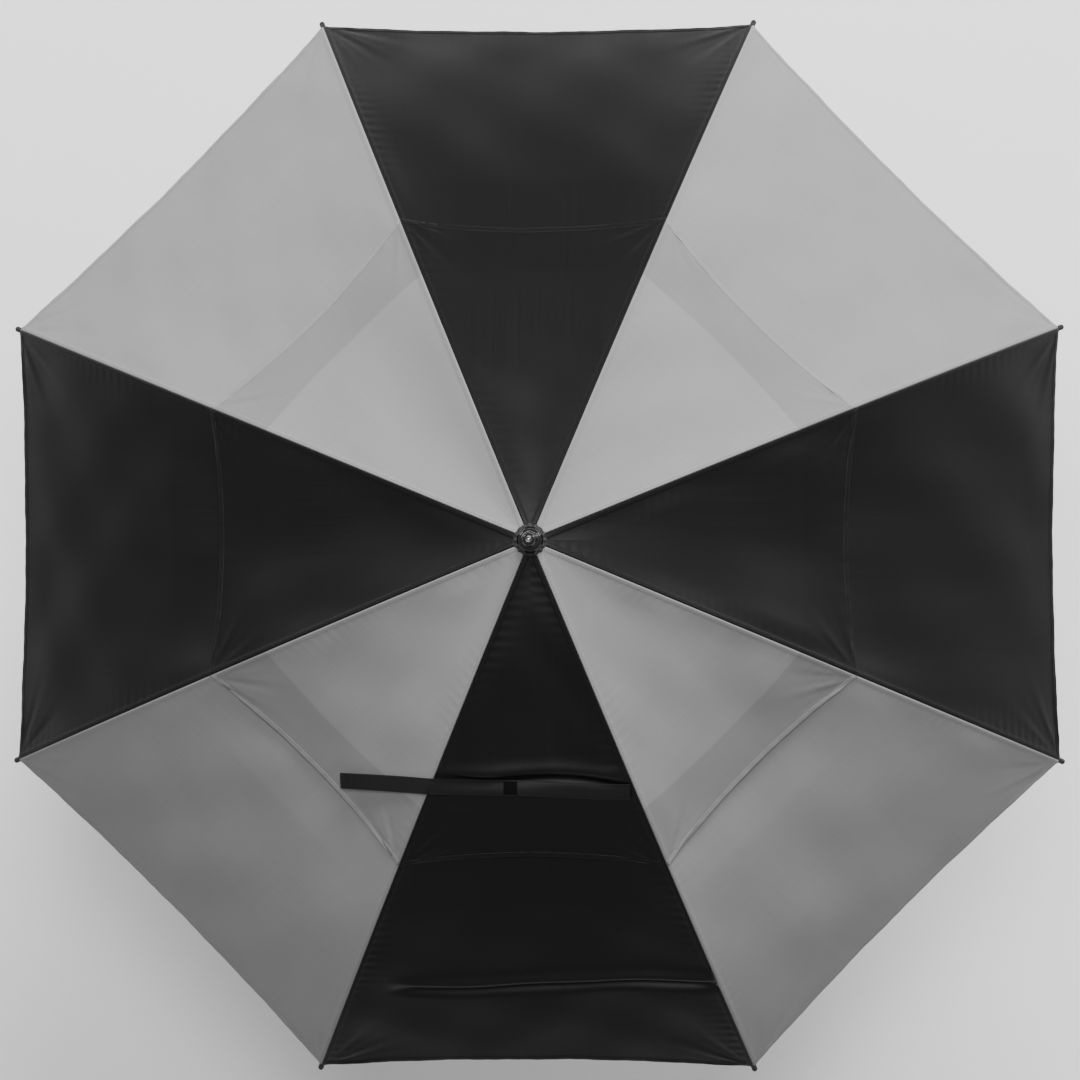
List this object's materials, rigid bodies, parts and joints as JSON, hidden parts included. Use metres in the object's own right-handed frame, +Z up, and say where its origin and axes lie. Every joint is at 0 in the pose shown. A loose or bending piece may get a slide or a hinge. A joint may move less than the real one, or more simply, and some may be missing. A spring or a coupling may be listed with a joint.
{
  "type": "golf umbrella",
  "caption": "Open golf umbrella with a vented double canopy in alternating black and grey gores, a slotted runner and a straight foam handle.",
  "frame": {"origin": "middle of the handle's flat butt", "axes": "+Z up the shaft towards the spike; X and Y across two black gores' middles, the closure strap on the -Y gore"},
  "size_m": [1.2394, 1.2394, 0.992],
  "materials": {
    "shaft_tube": "satin fibreglass tube",
    "fibreglass": "satin fibreglass rod",
    "black_plastic": "moulded, fine matt texture",
    "gloss_black_plastic": "gloss moulded",
    "foam": "closed-cell foam, matt",
    "steel": "bright wire and pressed leaf",
    "cloth_black": "plain-weave canopy cloth",
    "cloth_grey": "plain-weave canopy cloth",
    "webbing": "folded and stitched cloth tie",
    "hook_tape": "hook-and-loop tape"
  },
  "bodies": {
    "frame": {"shaft": "shaft_tube", "ferrule": "gloss_black_plastic", "crown_cap": "gloss_black_plastic", "crown_rosette": "black_plastic", "top_notch": "black_plastic", "notch_wire": "steel", "notch_rivet": "steel", "runner_stop": "black_plastic", "catch_pins": "steel", "handle_core": "black_plastic", "handle_grip": "foam", "handle_collar": "black_plastic", "handle_end_cap": "black_plastic"},
    "runner": {"runner": "black_plastic", "runner_wire": "steel"},
    "rib_1": {"rib_1": "fibreglass", "rib_tip_1": "black_plastic", "rib_bracket_1": "black_plastic"},
    "rib_2": {"rib_2": "fibreglass", "rib_tip_2": "black_plastic", "rib_bracket_2": "black_plastic"},
    "rib_3": {"rib_3": "fibreglass", "rib_tip_3": "black_plastic", "rib_bracket_3": "black_plastic"},
    "rib_4": {"rib_4": "fibreglass", "rib_tip_4": "black_plastic", "rib_bracket_4": "black_plastic"},
    "rib_5": {"rib_5": "fibreglass", "rib_tip_5": "black_plastic", "rib_bracket_5": "black_plastic"},
    "rib_6": {"rib_6": "fibreglass", "rib_tip_6": "black_plastic", "rib_bracket_6": "black_plastic"},
    "rib_7": {"rib_7": "fibreglass", "rib_tip_7": "black_plastic", "rib_bracket_7": "black_plastic"},
    "rib_8": {"rib_8": "fibreglass", "rib_tip_8": "black_plastic", "rib_bracket_8": "black_plastic"},
    "stretcher_1": {"stretcher_1": "fibreglass"},
    "stretcher_2": {"stretcher_2": "fibreglass"},
    "stretcher_3": {"stretcher_3": "fibreglass"},
    "stretcher_4": {"stretcher_4": "fibreglass"},
    "stretcher_5": {"stretcher_5": "fibreglass"},
    "stretcher_6": {"stretcher_6": "fibreglass"},
    "stretcher_7": {"stretcher_7": "fibreglass"},
    "stretcher_8": {"stretcher_8": "fibreglass"},
    "gore_1": {"gore_1": "cloth_black"},
    "gore_2": {"gore_2": "cloth_grey"},
    "gore_3": {"gore_3": "cloth_black"},
    "gore_4": {"gore_4": "cloth_grey"},
    "gore_5": {"gore_5": "cloth_black"},
    "gore_6": {"gore_6": "cloth_grey"},
    "gore_7": {"gore_7": "cloth_black", "closure_strap": "webbing", "strap_patch": "hook_tape"},
    "gore_8": {"gore_8": "cloth_grey"},
    "top_catch": {"top_catch": "steel"},
    "bottom_catch": {"bottom_catch": "steel"}
  },
  "joints": [
    {"name": "runner_slide", "type": "slide", "parent": "frame", "child": "runner", "axis": [0, 0, -1], "range_m": [0, 0.32174]},
    {"name": "rib_1_hinge", "type": "hinge", "parent": "frame", "child": "rib_1", "pos_m": [0.01016, 0.00421, 0.93], "axis": [-0.3827, 0.9239, 0], "range_deg": [0, 63.03]},
    {"name": "rib_2_hinge", "type": "hinge", "parent": "frame", "child": "rib_2", "pos_m": [0.00421, 0.01016, 0.93], "axis": [-0.9239, 0.3827, 0], "range_deg": [0, 63.03]},
    {"name": "rib_3_hinge", "type": "hinge", "parent": "frame", "child": "rib_3", "pos_m": [-0.00421, 0.01016, 0.93], "axis": [-0.9239, -0.3827, 0], "range_deg": [0, 63.03]},
    {"name": "rib_4_hinge", "type": "hinge", "parent": "frame", "child": "rib_4", "pos_m": [-0.01016, 0.00421, 0.93], "axis": [-0.3827, -0.9239, 0], "range_deg": [0, 63.03]},
    {"name": "rib_5_hinge", "type": "hinge", "parent": "frame", "child": "rib_5", "pos_m": [-0.01016, -0.00421, 0.93], "axis": [0.3827, -0.9239, 0], "range_deg": [0, 63.03]},
    {"name": "rib_6_hinge", "type": "hinge", "parent": "frame", "child": "rib_6", "pos_m": [-0.00421, -0.01016, 0.93], "axis": [0.9239, -0.3827, 0], "range_deg": [0, 63.03]},
    {"name": "rib_7_hinge", "type": "hinge", "parent": "frame", "child": "rib_7", "pos_m": [0.00421, -0.01016, 0.93], "axis": [0.9239, 0.3827, 0], "range_deg": [0, 63.03]},
    {"name": "rib_8_hinge", "type": "hinge", "parent": "frame", "child": "rib_8", "pos_m": [0.01016, -0.00421, 0.93], "axis": [0.3827, 0.9239, 0], "range_deg": [0, 63.03]},
    {"name": "stretcher_1_hinge", "type": "hinge", "parent": "rib_1", "child": "stretcher_1", "pos_m": [0.27448, 0.11369, 0.84506], "axis": [-0.3827, 0.9239, 0], "range_deg": [-100.65, 0]},
    {"name": "stretcher_2_hinge", "type": "hinge", "parent": "rib_2", "child": "stretcher_2", "pos_m": [0.11369, 0.27448, 0.84506], "axis": [-0.9239, 0.3827, 0], "range_deg": [-100.65, 0]},
    {"name": "stretcher_3_hinge", "type": "hinge", "parent": "rib_3", "child": "stretcher_3", "pos_m": [-0.11369, 0.27448, 0.84506], "axis": [-0.9239, -0.3827, 0], "range_deg": [-100.65, 0]},
    {"name": "stretcher_4_hinge", "type": "hinge", "parent": "rib_4", "child": "stretcher_4", "pos_m": [-0.27448, 0.11369, 0.84506], "axis": [-0.3827, -0.9239, 0], "range_deg": [-100.65, 0]},
    {"name": "stretcher_5_hinge", "type": "hinge", "parent": "rib_5", "child": "stretcher_5", "pos_m": [-0.27448, -0.11369, 0.84506], "axis": [0.3827, -0.9239, 0], "range_deg": [-100.65, 0]},
    {"name": "stretcher_6_hinge", "type": "hinge", "parent": "rib_6", "child": "stretcher_6", "pos_m": [-0.11369, -0.27448, 0.84506], "axis": [0.9239, -0.3827, 0], "range_deg": [-100.65, 0]},
    {"name": "stretcher_7_hinge", "type": "hinge", "parent": "rib_7", "child": "stretcher_7", "pos_m": [0.11369, -0.27448, 0.84506], "axis": [0.9239, 0.3827, 0], "range_deg": [-100.65, 0]},
    {"name": "stretcher_8_hinge", "type": "hinge", "parent": "rib_8", "child": "stretcher_8", "pos_m": [0.27448, -0.11369, 0.84506], "axis": [0.3827, 0.9239, 0], "range_deg": [-100.65, 0]},
    {"name": "gore_1_fold", "type": "hinge", "parent": "frame", "child": "gore_1", "pos_m": [0.011, 0, 0.93], "axis": [0, 1, 0], "range_deg": [0, 61.05], "deforming": ["gore_1"]},
    {"name": "gore_2_fold", "type": "hinge", "parent": "frame", "child": "gore_2", "pos_m": [0.00778, 0.00778, 0.93], "axis": [-0.7071, 0.7071, 0], "range_deg": [0, 61.05], "deforming": ["gore_2"]},
    {"name": "gore_3_fold", "type": "hinge", "parent": "frame", "child": "gore_3", "pos_m": [0, 0.011, 0.93], "axis": [-1, 0, 0], "range_deg": [0, 61.05], "deforming": ["gore_3"]},
    {"name": "gore_4_fold", "type": "hinge", "parent": "frame", "child": "gore_4", "pos_m": [-0.00778, 0.00778, 0.93], "axis": [-0.7071, -0.7071, 0], "range_deg": [0, 61.05], "deforming": ["gore_4"]},
    {"name": "gore_5_fold", "type": "hinge", "parent": "frame", "child": "gore_5", "pos_m": [-0.011, 0, 0.93], "axis": [0, -1, 0], "range_deg": [0, 61.05], "deforming": ["gore_5"]},
    {"name": "gore_6_fold", "type": "hinge", "parent": "frame", "child": "gore_6", "pos_m": [-0.00778, -0.00778, 0.93], "axis": [0.7071, -0.7071, 0], "range_deg": [0, 61.05], "deforming": ["gore_6"]},
    {"name": "gore_7_fold", "type": "hinge", "parent": "frame", "child": "gore_7", "pos_m": [0, -0.011, 0.93], "axis": [1, 0, 0], "range_deg": [0, 61.05], "deforming": ["gore_7", "closure_strap", "strap_patch"]},
    {"name": "gore_8_fold", "type": "hinge", "parent": "frame", "child": "gore_8", "pos_m": [0.00778, -0.00778, 0.93], "axis": [0.7071, 0.7071, 0], "range_deg": [0, 61.05], "deforming": ["gore_8"]},
    {"name": "top_catch_hinge", "type": "hinge", "parent": "frame", "child": "top_catch", "pos_m": [0.003, 0, 0.49087], "axis": [0, -1, 0], "range_deg": [0, 8], "stiffness_Nm_per_rad": 0.05, "springref_deg": -5.73},
    {"name": "bottom_catch_hinge", "type": "hinge", "parent": "frame", "child": "bottom_catch", "pos_m": [0.003, 0, 0.236], "axis": [0, 1, 0], "range_deg": [0, 8], "stiffness_Nm_per_rad": 0.05, "springref_deg": -5.73}
  ],
  "couplings": [
    {"joint": "rib_1_hinge", "follows": "runner_slide", "rad_per_m": 3.4162},
    {"joint": "rib_2_hinge", "follows": "runner_slide", "rad_per_m": 3.4162},
    {"joint": "rib_3_hinge", "follows": "runner_slide", "rad_per_m": 3.4162},
    {"joint": "rib_4_hinge", "follows": "runner_slide", "rad_per_m": 3.4162},
    {"joint": "rib_5_hinge", "follows": "runner_slide", "rad_per_m": 3.4162},
    {"joint": "rib_6_hinge", "follows": "runner_slide", "rad_per_m": 3.4162},
    {"joint": "rib_7_hinge", "follows": "runner_slide", "rad_per_m": 3.4162},
    {"joint": "rib_8_hinge", "follows": "runner_slide", "rad_per_m": 3.4162},
    {"joint": "stretcher_1_hinge", "follows": "runner_slide", "rad_per_m": -5.457},
    {"joint": "stretcher_2_hinge", "follows": "runner_slide", "rad_per_m": -5.457},
    {"joint": "stretcher_3_hinge", "follows": "runner_slide", "rad_per_m": -5.457},
    {"joint": "stretcher_4_hinge", "follows": "runner_slide", "rad_per_m": -5.457},
    {"joint": "stretcher_5_hinge", "follows": "runner_slide", "rad_per_m": -5.457},
    {"joint": "stretcher_6_hinge", "follows": "runner_slide", "rad_per_m": -5.457},
    {"joint": "stretcher_7_hinge", "follows": "runner_slide", "rad_per_m": -5.457},
    {"joint": "stretcher_8_hinge", "follows": "runner_slide", "rad_per_m": -5.457},
    {"joint": "gore_1_fold", "follows": "runner_slide", "rad_per_m": 3.309},
    {"joint": "gore_2_fold", "follows": "runner_slide", "rad_per_m": 3.309},
    {"joint": "gore_3_fold", "follows": "runner_slide", "rad_per_m": 3.309},
    {"joint": "gore_4_fold", "follows": "runner_slide", "rad_per_m": 3.309},
    {"joint": "gore_5_fold", "follows": "runner_slide", "rad_per_m": 3.309},
    {"joint": "gore_6_fold", "follows": "runner_slide", "rad_per_m": 3.309},
    {"joint": "gore_7_fold", "follows": "runner_slide", "rad_per_m": 3.309},
    {"joint": "gore_8_fold", "follows": "runner_slide", "rad_per_m": 3.309}
  ]
}
